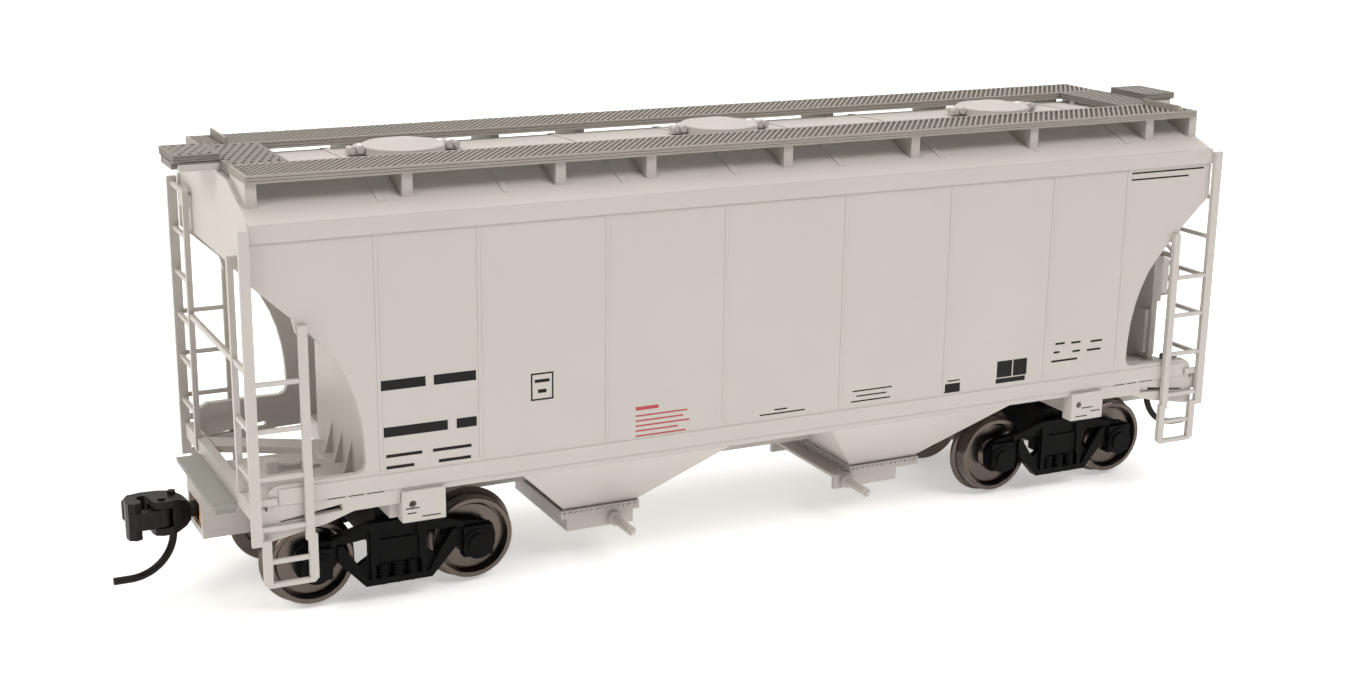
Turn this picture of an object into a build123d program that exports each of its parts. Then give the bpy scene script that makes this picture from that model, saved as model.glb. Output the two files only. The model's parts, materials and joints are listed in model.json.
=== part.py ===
from build123d import *
import math
import os

os.makedirs("parts", exist_ok=True)

# A two-bay covered hopper car in railway modelling scale 1:87.1.
# X runs along the car, Y across it, Z up. Z = 0 is the underside of the wheel flanges.
# Every length is in millimetres.

# ---------------------------------------------------------------- driving dimensions
body_end = 67.5
beam_face_x = 68.22
side_face = 17.8
sheet = 1.0
side_inner = side_face - sheet
eave_z = 49.2
end_sheet_face = 67.3
end_sheet_foot_z = 42.9
sill_top_z = 19.1
sill_foot_z = 15.95
floor_z = 15.95
floor_thickness = 1.0
chord_foot_z = 47.2
rib = 0.12
chord_proud = 0.2
slope_foot_x = end_sheet_face - (end_sheet_foot_z - floor_z)

roof_knee_y = 15.1
roof_knee_z = 50.2
roof_shoulder_y = 8.2
roof_shoulder_z = 52.7
roof_ridge_z = 53.05
roof_thickness = 0.9

walk_top_z = 54.2
walk_thickness = 0.95
walk_inner_y = 7.1
walk_outer_y = 14.9
walk_end_x = 66.8
cross_walk_inner_x = 59.8
step_inner_x = 66.82
step_near_y = 3.6
step_far_y = 4.2
step_end_x = 72.2
step_corner_radius = 1.0
step_top_z = 55.0
toe_board_x = 63.6
toe_board_thickness = 0.3

hatch_centres = (-43.8, -0.6, 42.7)
hatch_radius = 5.1
hatch_foot_z = 53.0
hatch_rim_z = 54.2
hatch_top_z = 54.8

bay_top_inner_x = 7.5
bay_top_outer_x = 35.5
bay_foot_inner_x = 16.2
bay_foot_outer_x = 26.4
bay_foot_y = 8.5
bay_foot_z = 7.1
gate_flange_foot_z = 6.0
gate_flange_y = 9.0
gate_foot_z = 4.3
gate_shaft_z = 5.3
gate_shaft_radius = 0.6

centre_sill_half = 2.5
centre_sill_foot_z = 9.6
end_sill_foot_z = 13.9
bolster_centre_x = 48.3
pad_half = 2.65
pad_face_y = 18.4
pad_foot_z = 12.5
pad_hole_radius = 0.45

truck_centre_x = 49.5
half_wheelbase = 10.2
axle_z = 5.9
axle_radius = 0.8
axle_tip_y = 11.9
wheel_outer_y = 10.0
wheel_tread_inner_y = 7.9
wheel_flange_y = 7.2
tread_radius = 5.25
flange_radius = 5.9
frame_inner_y = 10.5
frame_outer_y = 11.9
frame_foot_z = 2.5

coupler_pivot_x = 65.2
box_back_x = 61.8
box_front_x = 71.2
box_half = 4.0
box_top_z = 14.2
box_split_z = 9.6
box_foot_z = 8.7
knuckle_pin_x = 75.3
knuckle_pin_y = 0.85

running_fit = 0.06


# ---------------------------------------------------------------- helpers
def block(x_a, x_b, y_a, y_b, z_a, z_b, mode=Mode.ADD):
    """Add a rectangular block between two corners to the piece being built."""
    centre = ((x_a + x_b) / 2, (y_a + y_b) / 2, (z_a + z_b) / 2)
    with Locations(centre):
        Box(abs(x_b - x_a), abs(y_b - y_a), abs(z_b - z_a), mode=mode)


def plate_xz(points, y_a, y_b, mode=Mode.ADD):
    """Add a plate whose outline lies in X and Z and whose thickness runs along Y."""
    face_plane = Plane(origin=(0, max(y_a, y_b), 0), x_dir=(1, 0, 0), z_dir=(0, -1, 0))
    with BuildSketch(face_plane) as outline:
        with BuildLine():
            Polyline(*points, close=True)
        make_face()
    extrude(to_extrude=outline.sketch, amount=abs(y_b - y_a), mode=mode)


def plate_yz(points, x_a, x_b, mode=Mode.ADD):
    """Add a plate whose outline lies in Y and Z and whose thickness runs along X."""
    face_plane = Plane(origin=(min(x_a, x_b), 0, 0), x_dir=(0, 1, 0), z_dir=(1, 0, 0))
    with BuildSketch(face_plane) as outline:
        with BuildLine():
            Polyline(*points, close=True)
        make_face()
    extrude(to_extrude=outline.sketch, amount=abs(x_b - x_a), mode=mode)


def plate_xy(points, z_a, z_b, mode=Mode.ADD):
    """Add a plate whose outline lies in X and Y and whose thickness runs along Z."""
    with BuildSketch(Plane.XY.offset(min(z_a, z_b))) as outline:
        with BuildLine():
            Polyline(*points, close=True)
        make_face()
    extrude(to_extrude=outline.sketch, amount=abs(z_b - z_a), mode=mode)


def rod_x(x_a, x_b, y, z, radius, mode=Mode.ADD):
    """Add a round bar along X."""
    with Locations(Location(((x_a + x_b) / 2, y, z), (0, 90, 0))):
        Cylinder(radius, abs(x_b - x_a), mode=mode)


def rod_y(x, y_a, y_b, z, radius, mode=Mode.ADD):
    """Add a round bar along Y."""
    with Locations(Location((x, (y_a + y_b) / 2, z), (90, 0, 0))):
        Cylinder(radius, abs(y_b - y_a), mode=mode)


def rod_z(x, y, z_a, z_b, radius, mode=Mode.ADD):
    """Add a round bar along Z."""
    with Locations((x, y, (z_a + z_b) / 2)):
        Cylinder(radius, abs(z_b - z_a), mode=mode)


def tapered_block(foot, top, foot_z, top_z, mode=Mode.ADD):
    """Add a straight-sided funnel between two rectangles given as (x_a, x_b, half_y)."""
    with BuildSketch(Plane.XY.offset(foot_z)) as lower:
        with Locations(((foot[0] + foot[1]) / 2, 0)):
            Rectangle(abs(foot[1] - foot[0]), 2 * foot[2])
    with BuildSketch(Plane.XY.offset(top_z)) as upper:
        with Locations(((top[0] + top[1]) / 2, 0)):
            Rectangle(abs(top[1] - top[0]), 2 * top[2])
    loft(sections=[lower.sketch, upper.sketch], mode=mode)


def save(piece, name):
    """Label a finished piece and write it out."""
    piece.part.label = name
    export_step(piece.part, f"parts/{name}.step")


ENDS = (("left", -1), ("right", 1))
SIDES = (("near", -1), ("far", 1))


# ---------------------------------------------------------------- body moulding
def side_sheet_outline():
    """The side sheet with its end cut-outs, as a closed face in X and Z."""
    cut_top_x = 61.1
    cut_top_z = 36.4
    cut_foot_x = 55.0
    corner_radius = 1.1
    right = [
        (body_end, eave_z),
        (body_end, 42.5),
        (62.9, 38.2),
        (62.5, cut_top_z + 0.1),
        (cut_top_x, cut_top_z),
    ]
    arc_points = [(59.3, 34.4), (57.9, 32.6), (56.8, 30.4), (56.0, 28.2), (55.4, 25.6), (55.1, 23.0)]
    sill_end_x = 66.7
    sill_end_chamfer = 1.2
    foot = [
        (cut_foot_x, sill_top_z + corner_radius),
        (cut_foot_x + corner_radius * 0.3, sill_top_z + corner_radius * 0.3),
        (cut_foot_x + corner_radius, sill_top_z),
        (sill_end_x - sill_end_chamfer, sill_top_z),
        (sill_end_x - sill_end_chamfer * 0.3, sill_top_z - sill_end_chamfer * 0.4),
        (sill_end_x, sill_top_z - sill_end_chamfer),
        (sill_end_x, sill_foot_z),
    ]
    half = right + arc_points + foot
    mirrored = [(-x, z) for x, z in reversed(half)]
    return half + mirrored


def end_profile(inset):
    """The roof-shaped upper edge of the end sheet, lowered by the given amount."""
    return [
        (side_inner, eave_z),
        (roof_knee_y, roof_knee_z - inset),
        (roof_shoulder_y, roof_shoulder_z - inset),
        (0, roof_ridge_z - inset),
        (-roof_shoulder_y, roof_shoulder_z - inset),
        (-roof_knee_y, roof_knee_z - inset),
        (-side_inner, eave_z),
    ]


def make_body_shell():
    weld_seams = (8.5, 24.55, 40.9, 53.2)
    seam_half = 0.2
    # bent strip that drops from the sill beside the jacking pad to the end beam, with a slit above it
    gusset = [(51.0, 16.2), (51.0, 14.85), (56.6, 14.75), (59.8, 13.7), (66.3, 12.5), (67.2, 12.7), (67.2,
                                                                                                     16.2)]
    slit = [(58.0, 15.0), (58.0, 15.8), (65.4, 14.8), (65.2, 14.6)]
    sill_band = (16.7, 18.6)
    band_end_x = 65.4
    beam_x = (67.0, 68.2)
    beam_z = (14.6, 16.6)
    # upright plate under the left slope sheet, with three ribs standing on the floor in front of it
    web_x = (-54.5, -54.0)
    web_y = (-side_inner, 4.4)
    web_top_z = 30.0
    web_foot_z = floor_z + floor_thickness + 0.02
    web_rib_centres = (-2.2, -6.3, -10.4)
    web_rib_half = 0.25
    web_rib_foot_x = -55.6
    web_rib_top_z = 21.0
    with BuildPart() as body_shell:
        for name, sign in SIDES:
            plate_xz(side_sheet_outline(), sign * side_inner, sign * side_face)
            block(-body_end, body_end, sign * side_face, sign * (side_face + chord_proud), chord_foot_z,
                  eave_z)
            block(-band_end_x, band_end_x, sign * side_face, sign * (side_face + rib), sill_band[0],
                  sill_band[1])
            for end_name, end in ENDS:
                wedge = [(end * x, z) for x, z in gusset]
                plate_xz(wedge, sign * side_inner, sign * side_face)
                opening = [(end * x, z) for x, z in slit]
                plate_xz(opening, sign * (side_inner - 1), sign * (side_face + 1), mode=Mode.SUBTRACT)
                for seam_x in weld_seams:
                    block(end * seam_x - seam_half, end * seam_x + seam_half, sign * side_face,
                          sign * (side_face + rib / 2), sill_top_z, chord_foot_z)
        for end_name, end in ENDS:
            sheet_points = [(-side_inner, end_sheet_foot_z), (side_inner,
                                                              end_sheet_foot_z)] + end_profile(roof_thickness)
            plate_yz(sheet_points, end * (end_sheet_face - sheet), end * end_sheet_face)
            slope_points = [
                (end * end_sheet_face, end_sheet_foot_z),
                (end * slope_foot_x, floor_z),
                (end * (slope_foot_x - sheet * math.sqrt(2)), floor_z),
                (end * (end_sheet_face - sheet * math.sqrt(2)), end_sheet_foot_z),
            ]
            plate_xz(slope_points, -side_inner, side_inner)
            # end beam between the side sills
            block(end * beam_x[0], end * beam_x[1], -side_face, side_face, beam_z[0], beam_z[1])
        block(web_x[0], web_x[1], web_y[0], web_y[1], web_foot_z, web_top_z)
        for centre_y in web_rib_centres:
            web_rib = [
                (web_x[0] + web_rib_half, web_rib_top_z),
                (web_x[0], web_rib_top_z),
                (web_rib_foot_x, web_foot_z),
                (web_x[0] + web_rib_half, web_foot_z),
            ]
            plate_xz(web_rib, centre_y - web_rib_half, centre_y + web_rib_half)
    save(body_shell, "body_shell")
    return body_shell


# ---------------------------------------------------------------- roof
def make_roof():
    upstand_width = 1.3
    upstand_centres = (-66.1, -48.1, -29.1, -17.2, 1.8, 20.7, 39.5, 59.0, 66.6)
    upstand_inner_y = 7.6
    upstand_outer_y = 14.4
    seam_width = 0.8
    seam_pitch = 15.2
    first_seam_x = -51.4
    seam_count = 8
    peg_x = 60.2
    peg_y = 4.2
    peg_radius = 0.5
    hatch_ring_sink = 0.6
    outer = [
        (side_face, eave_z),
        (roof_knee_y, roof_knee_z),
        (roof_shoulder_y, roof_shoulder_z),
        (0, roof_ridge_z),
        (-roof_shoulder_y, roof_shoulder_z),
        (-roof_knee_y, roof_knee_z),
        (-side_face, eave_z),
    ]
    inner = list(reversed(end_profile(roof_thickness)))
    seam_outer = [(y, z + rib) for y, z in outer[1:-1]]
    seam_inner = [(y, z - rib) for y, z in reversed(outer[1:-1])]
    with BuildPart() as roof:
        plate_yz(outer + inner, -end_sheet_face, end_sheet_face)
        for index in range(seam_count):
            seam_x = first_seam_x + index * seam_pitch
            plate_yz(seam_outer + seam_inner, seam_x - seam_width / 2, seam_x + seam_width / 2)
        for name, sign in SIDES:
            for centre in upstand_centres:
                upstand = [
                    (sign * upstand_inner_y, roof_shoulder_z - rib),
                    (sign * roof_shoulder_y, roof_shoulder_z - 2 * rib),
                    (sign * upstand_outer_y, roof_knee_z),
                    (sign * upstand_outer_y, walk_top_z - walk_thickness),
                    (sign * upstand_inner_y, walk_top_z - walk_thickness),
                ]
                plate_yz(upstand, centre - upstand_width / 2, centre + upstand_width / 2)
        for hatch_x in hatch_centres:
            rod_z(hatch_x, 0, roof_ridge_z - hatch_ring_sink, hatch_foot_z + 0.35, hatch_radius - 0.7)
        for end_name, end in ENDS:
            # bracket under the raised end step and the pegs under the cross walk
            block(end * (walk_end_x + 0.02), end * (step_end_x - 0.65), -step_near_y, step_near_y, 53.1, 53.9)
            block(end * 64.9, end * end_sheet_face, -step_near_y, step_near_y, roof_ridge_z - 0.5, 53.2)
            for name, sign in SIDES:
                rod_z(end * peg_x, sign * peg_y, roof_ridge_z - 0.7, walk_top_z - walk_thickness, peg_radius)
    save(roof, "roof")
    return roof


# ---------------------------------------------------------------- roof walks
def make_walks():
    seam_half = 0.12
    seam_depth = 0.35
    seam_centres = (-48.1, -29.1, -10.0, 9.0, 28.0, 47.0)
    for name, sign in SIDES:
        with BuildPart() as walk:
            block(-walk_end_x, walk_end_x, sign * walk_inner_y, sign * walk_outer_y,
                  walk_top_z - walk_thickness, walk_top_z)
            for seam_x in seam_centres:
                block(seam_x - seam_half, seam_x + seam_half, sign * walk_inner_y, sign * walk_outer_y,
                      walk_top_z - seam_depth, walk_top_z, mode=Mode.SUBTRACT)
            # toe board across the walk at one end
            block(sign * -toe_board_x - toe_board_thickness / 2,
                  sign * -toe_board_x + toe_board_thickness / 2,
                  sign * walk_inner_y, sign * walk_outer_y, walk_top_z - seam_depth, step_top_z)
        save(walk, f"roof_walk_{name}")
    step_lip = 0.6
    lip_drop = 1.7
    bridge_x = 66.0
    for end_name, end in ENDS:
        step = [
            (end * step_inner_x, -step_near_y),
            (end * (step_end_x - step_corner_radius), -step_near_y),
            (end * (step_end_x - step_corner_radius * 0.3), -step_near_y + step_corner_radius * 0.3),
            (end * step_end_x, -step_near_y + step_corner_radius),
            (end * step_end_x, step_far_y - step_corner_radius),
            (end * (step_end_x - step_corner_radius * 0.3), step_far_y - step_corner_radius * 0.3),
            (end * (step_end_x - step_corner_radius), step_far_y),
            (end * step_inner_x, step_far_y),
        ]
        with BuildPart() as end_walk:
            block(end * cross_walk_inner_x, end * walk_end_x, -walk_inner_y, walk_inner_y,
                  walk_top_z - walk_thickness, walk_top_z)
            # the raised end step, joined to the cross walk by two low bearers
            plate_xy(step, walk_top_z - 0.1, step_top_z)
            block(end * bridge_x, end * step_end_x - end * step_lip, -step_near_y, step_near_y,
                  walk_top_z - 0.25, walk_top_z)
            block(end * (step_end_x - step_lip), end * step_end_x, -step_near_y + step_corner_radius,
                  step_far_y - step_corner_radius, step_top_z - lip_drop, step_top_z)
        save(end_walk, f"roof_end_walk_{end_name}")


# ---------------------------------------------------------------- hatch covers
def make_hatches():
    names = ("left", "centre", "right")
    lug_foot_z = hatch_foot_z + 0.2
    cover_foot_z = hatch_foot_z + 0.35
    for name, hatch_x in zip(names, hatch_centres):
        with BuildPart() as hatch:
            with BuildSketch(Plane(origin=(hatch_x, 0, 0), x_dir=(1, 0, 0), z_dir=(0, -1, 0))) as profile:
                with BuildLine():
                    Polyline(
                        (0, cover_foot_z),
                        (hatch_radius - 0.6, cover_foot_z),
                        (hatch_radius - 0.6, lug_foot_z),
                        (hatch_radius, lug_foot_z),
                        (hatch_radius, hatch_rim_z - 0.15),
                        (hatch_radius - 0.2, hatch_rim_z),
                        (hatch_radius - 0.8, hatch_rim_z),
                        (hatch_radius - 1.0, hatch_rim_z - 0.1),
                        (hatch_radius - 3.0, hatch_top_z - 0.1),
                        (0, hatch_top_z),
                        close=True,
                    )
                make_face()
            revolve(profiles=profile.sketch, axis=Axis((hatch_x, 0, 0), (0, 0, 1)))
            for sign in (-1, 1):
                block(hatch_x + sign * (hatch_radius - 0.5), hatch_x + sign * (hatch_radius + 1.9), -0.7, 0.7,
                      lug_foot_z, lug_foot_z + 0.5)
                rod_y(hatch_x + sign * (hatch_radius + 0.5), -1.1, 1.1, lug_foot_z + 0.65, 0.45)
                rod_y(hatch_x + sign * (hatch_radius + 1.5), -0.9, 0.9, lug_foot_z + 0.6, 0.4)
                block(hatch_x + sign * (hatch_radius - 0.7), hatch_x + sign * (hatch_radius + 1.4), -0.35,
                      0.35,
                      lug_foot_z + 0.4, hatch_rim_z)
        save(hatch, f"hatch_cover_{name}")


# ---------------------------------------------------------------- underframe
def bay_outer_x(z):
    """Outboard face of a hopper bay at a given height."""
    share = (z - bay_foot_z) / (floor_z - bay_foot_z)
    return bay_foot_outer_x + share * (bay_top_outer_x - bay_foot_outer_x)


def bay_inner_x(z):
    """Inboard face of a hopper bay at a given height."""
    share = (z - bay_foot_z) / (floor_z - bay_foot_z)
    return bay_foot_inner_x - share * (bay_foot_inner_x - bay_top_inner_x)


def make_underframe():
    floor_end = slope_foot_x - sheet * math.sqrt(2) - 0.05
    opening_margin = 1.6
    shell_gap = 0.05
    mid_sill = [
        (-bay_inner_x(floor_z) + shell_gap, floor_z),
        (bay_inner_x(floor_z) - shell_gap, floor_z),
        (bay_inner_x(centre_sill_foot_z) - shell_gap, centre_sill_foot_z),
        (-bay_inner_x(centre_sill_foot_z) + shell_gap, centre_sill_foot_z),
    ]
    end_sill = [
        (bay_outer_x(floor_z) + shell_gap, floor_z),
        (bay_outer_x(centre_sill_foot_z) + shell_gap, centre_sill_foot_z),
        (43.0, centre_sill_foot_z),
        (45.2, end_sill_foot_z),
        (53.5, end_sill_foot_z),
        (55.5, 11.5),
        (61.4, 11.5),
        (61.7, box_top_z),
        (66.9, box_top_z),
        (66.9, floor_z),
    ]
    brace_half = 1.9
    brace_top_z = 16.7
    brace_inner = (53.0, 0.9)
    brace_outer = (66.9, 8.3)
    # deck on the near side of the left end, with a slot and a tongue that crosses the centre sill
    deck_outline = [(-66.9, -side_inner), (-66.9, -4.6), (-56.2, -4.6), (-56.2, 2.4), (-53.0, 2.4), (-53.0,
                                                                                                     -side_inner)]
    deck_slot_x = (-58.6, -57.2)
    deck_slot_y = (-7.5, -6.2)
    with BuildPart() as underframe:
        block(-floor_end, floor_end, -side_inner, side_inner, floor_z, floor_z + floor_thickness)
        for end_name, end in ENDS:
            block(end * (bay_top_inner_x + opening_margin), end * (bay_top_outer_x - opening_margin),
                  -side_inner + opening_margin, side_inner - opening_margin, floor_z,
                  floor_z + floor_thickness,
                  mode=Mode.SUBTRACT)
        plate_xz(mid_sill, -centre_sill_half, centre_sill_half)
        for end_name, end in ENDS:
            plate_xz([(end * x, z) for x, z in end_sill], -centre_sill_half, centre_sill_half)
            for name, sign in SIDES:
                # diagonal braces from the centre sill to the end beam
                brace = [
                    (end * brace_inner[0], sign * (brace_inner[1] - brace_half)),
                    (end * brace_outer[0], sign * (brace_outer[1] - brace_half)),
                    (end * brace_outer[0], sign * (brace_outer[1] + brace_half)),
                    (end * brace_inner[0], sign * (brace_inner[1] + brace_half)),
                ]
                if (end_name, name) != ("left", "near"):
                    plate_xy(brace, floor_z - 0.1, brace_top_z)
        plate_xy(deck_outline, floor_z - 0.1, floor_z + floor_thickness)
        block(deck_slot_x[0], deck_slot_x[1], deck_slot_y[0], deck_slot_y[1], floor_z - 1, floor_z + 2,
              mode=Mode.SUBTRACT)
    save(underframe, "underframe")
    return underframe


def make_ballast():
    ballast_half_length = 38.0
    ballast_half_width = 14.5
    ballast_thickness = 2.6
    foot_z = floor_z + floor_thickness
    with BuildPart() as ballast:
        block(-ballast_half_length, ballast_half_length, -ballast_half_width, ballast_half_width,
              foot_z, foot_z + ballast_thickness)
    save(ballast, "ballast_plate")


# ---------------------------------------------------------------- hopper bays and outlets
def make_bays():
    wall = 1.0
    for end_name, end in ENDS:
        with BuildPart() as bay:
            tapered_block(
                (end * bay_foot_inner_x, end * bay_foot_outer_x, bay_foot_y),
                (end * bay_top_inner_x, end * bay_top_outer_x, side_face),
                bay_foot_z, floor_z)
            tapered_block(
                (end * (bay_foot_inner_x + wall), end * (bay_foot_outer_x - wall), bay_foot_y - wall),
                (end * (bay_top_inner_x + 1.5 * wall), end * (bay_top_outer_x - 1.5 * wall),
                 side_face - 1.5 * wall),
                bay_foot_z, floor_z, mode=Mode.SUBTRACT)
        save(bay, f"hopper_bay_{end_name}")


def make_outlets():
    flange_inner_x = 16.0
    flange_outer_x = 27.0
    bolt_radius = 0.2
    bolt_pitch = 0.76
    bolt_count = 14
    bolt_z = bay_foot_z - 0.45
    bolt_proud = 0.18
    inboard_bolt_pitch = 1.35
    inboard_bolt_count = 13
    lip_inner_x = 13.4
    lip_z = (5.8, 6.2)
    lip_end_width = 0.6
    lip_end_foot_z = 4.2
    gate_fit = 0.03
    gate_z = (gate_flange_foot_z + 0.15, gate_flange_foot_z + 0.75)
    socket_half = 0.28
    collar_y = (-10.0, -9.3)
    collar_proud = 0.3
    boxes = {"left": (-26.2, -16.9), "right": (15.9, 23.4)}
    shaft_x = {"left": -19.7, "right": 15.2}
    box_wall = 0.8
    shaft_near_y = -14.7
    shaft_far_y = 9.8
    for end_name, end in ENDS:
        box_a, box_b = boxes[end_name]
        with BuildPart() as frame:
            block(end * flange_inner_x, end * flange_outer_x, -gate_flange_y, gate_flange_y,
                  gate_flange_foot_z, bay_foot_z)
            block(box_a, box_b, -gate_flange_y, gate_flange_y, gate_foot_z, gate_flange_foot_z)
            block(box_a + box_wall, box_b - box_wall, -gate_flange_y + box_wall, gate_flange_y - box_wall,
                  gate_foot_z, gate_flange_foot_z, mode=Mode.SUBTRACT)
            block(end * (bay_foot_inner_x + 1), end * (bay_foot_outer_x - 1), -bay_foot_y + 1, bay_foot_y - 1,
                  gate_flange_foot_z, bay_foot_z, mode=Mode.SUBTRACT)
            for sign in (-1, 1):
                for index in range(bolt_count):
                    bolt_x = end * (flange_inner_x + flange_outer_x) / 2 + (index - (bolt_count - 1) / 2) * bolt_pitch
                    rod_y(bolt_x, sign * (gate_flange_y - 0.1), sign * (gate_flange_y + bolt_proud),
                          bolt_z, bolt_radius)
            for index in range(inboard_bolt_count):
                bolt_y = (index - (inboard_bolt_count - 1) / 2) * inboard_bolt_pitch
                rod_x(end * (flange_inner_x - bolt_proud), end * (flange_inner_x + 0.1), bolt_y, bolt_z,
                      bolt_radius)
            if end_name == "right":
                # shallow discharge lip along the inboard side of this outlet, with a plate at each end
                block(lip_inner_x, box_a + 0.2, -gate_flange_y, gate_flange_y, lip_z[0], lip_z[1])
                for sign in (-1, 1):
                    block(lip_inner_x, box_a + 0.2, sign * (gate_flange_y - lip_end_width),
                          sign * gate_flange_y,
                          lip_end_foot_z, lip_z[1])
            rod_y(shaft_x[end_name], -gate_flange_y - 1, gate_flange_y + 1, gate_shaft_z,
                  gate_shaft_radius, mode=Mode.SUBTRACT)
        save(frame, f"outlet_frame_{end_name}")
    with BuildPart() as gates:
        for end_name, end in ENDS:
            block(end * (bay_foot_inner_x + 1 + gate_fit), end * (bay_foot_outer_x - 1 - gate_fit),
                  -bay_foot_y + 1 + gate_fit, bay_foot_y - 1 - gate_fit, gate_z[0], gate_z[1])
    save(gates, "outlet_gates")
    with BuildPart() as shafts:
        for end_name, end in ENDS:
            rod_y(shaft_x[end_name], shaft_near_y, shaft_far_y, gate_shaft_z, gate_shaft_radius)
            block(shaft_x[end_name] - socket_half, shaft_x[end_name] + socket_half, shaft_near_y - 0.5,
                  shaft_near_y + 0.2, gate_shaft_z - socket_half, gate_shaft_z + socket_half)
            rod_y(shaft_x[end_name], collar_y[0], collar_y[1], gate_shaft_z, gate_shaft_radius + collar_proud)
    save(shafts, "gate_shafts")


# ---------------------------------------------------------------- bolsters with jacking pads
def make_body_bolsters():
    screw_radius = 1.1
    bolster_half = 2.6
    bolster_z = (12.8, 15.85)
    centre_plate_foot_z = 12.4
    centre_plate_radius = 2.7
    sill_clear = 0.05
    pad_flange_z = (15.5, 16.3)
    pad_hole_shift = 1.4
    pad_hole_z = 14.7
    screw_z = (6.0, 13.8)
    screw_head_z = (5.2, 6.15)
    screw_head_radius = 1.9
    screw_slot_half = 0.25
    for end_name, end in ENDS:
        with BuildPart() as bolster:
            block(end * (truck_centre_x - bolster_half), end * (truck_centre_x + bolster_half),
                  -side_inner, side_inner, bolster_z[0], bolster_z[1])
            rod_z(end * truck_centre_x, 0, centre_plate_foot_z, 13.0, centre_plate_radius)
            # the centre sill passes over the bolster
            block(end * (truck_centre_x - 3), end * (truck_centre_x + 3), -centre_sill_half - sill_clear,
                  centre_sill_half + sill_clear, end_sill_foot_z - sill_clear, 16, mode=Mode.SUBTRACT)
            for name, sign in SIDES:
                block(end * (bolster_centre_x - pad_half), end * (bolster_centre_x + pad_half),
                      sign * (side_inner - 0.3), sign * pad_face_y, pad_foot_z, bolster_z[1])
                block(end * (bolster_centre_x - pad_half), end * (bolster_centre_x + pad_half),
                      sign * (side_face + rib + 0.03), sign * pad_face_y, pad_flange_z[0], pad_flange_z[1])
                rod_y(end * bolster_centre_x - pad_hole_shift, sign * (pad_face_y - 1.0),
                      sign * (pad_face_y + 1),
                      pad_hole_z, pad_hole_radius, mode=Mode.SUBTRACT)
            rod_z(end * truck_centre_x, 0, 12, 14, screw_radius, mode=Mode.SUBTRACT)
        save(bolster, f"body_bolster_{end_name}")
    with BuildPart() as screws:
        for end_name, end in ENDS:
            rod_z(end * truck_centre_x, 0, screw_z[0], screw_z[1], screw_radius)
            rod_z(end * truck_centre_x, 0, screw_head_z[0], screw_head_z[1], screw_head_radius)
            block(end * truck_centre_x - 1.4, end * truck_centre_x + 1.4, -screw_slot_half, screw_slot_half,
                  screw_head_z[0] - 0.1, screw_head_z[0] + 0.3, mode=Mode.SUBTRACT)
    save(screws, "truck_screws")


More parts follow.
